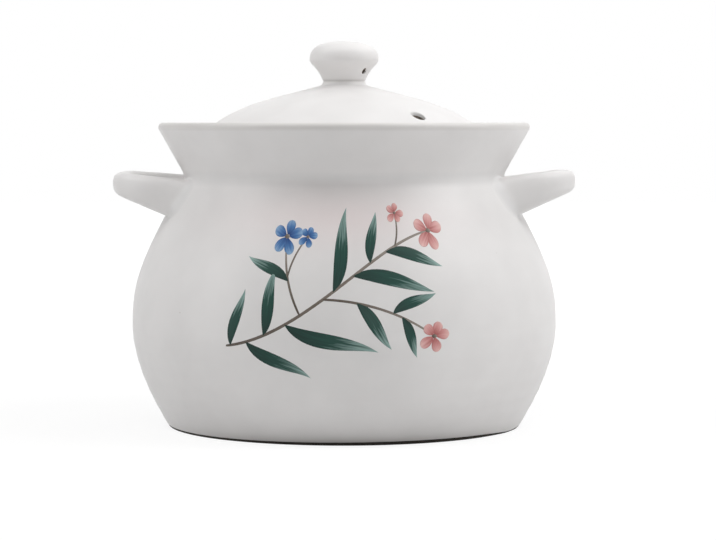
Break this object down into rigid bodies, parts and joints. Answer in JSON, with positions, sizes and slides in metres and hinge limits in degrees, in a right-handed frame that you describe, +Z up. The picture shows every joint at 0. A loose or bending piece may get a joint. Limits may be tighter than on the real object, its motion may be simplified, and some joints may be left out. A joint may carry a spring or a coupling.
{
  "type": "clay cooking pot",
  "caption": "Round white-glazed clay soup pot with a flared collar, side loop handles and a loose domed lid that lifts off by a mushroom knob.",
  "frame": {"origin": "middle of the foot, on the plane that the pot stands on", "axes": "+Z up along the pot's axis, +X towards the right handle, -Y towards the decorated front"},
  "size_m": [0.2726, 0.251, 0.2264],
  "materials": {
    "pot_glaze": "satin white glaze over clay, bare clay on the foot ring",
    "lid_glaze": "satin white glaze over clay"
  },
  "bodies": {
    "pot": {"pot_body": "pot_glaze", "handle_left": "pot_glaze", "handle_right": "pot_glaze"},
    "lid": {"lid_shell": "lid_glaze", "lid_knob": "lid_glaze"}
  },
  "joints": [
    {"name": "lid_lift", "type": "slide", "parent": "pot", "child": "lid", "axis": [0, 0, 1], "range_m": [0, 0.06]}
  ]
}
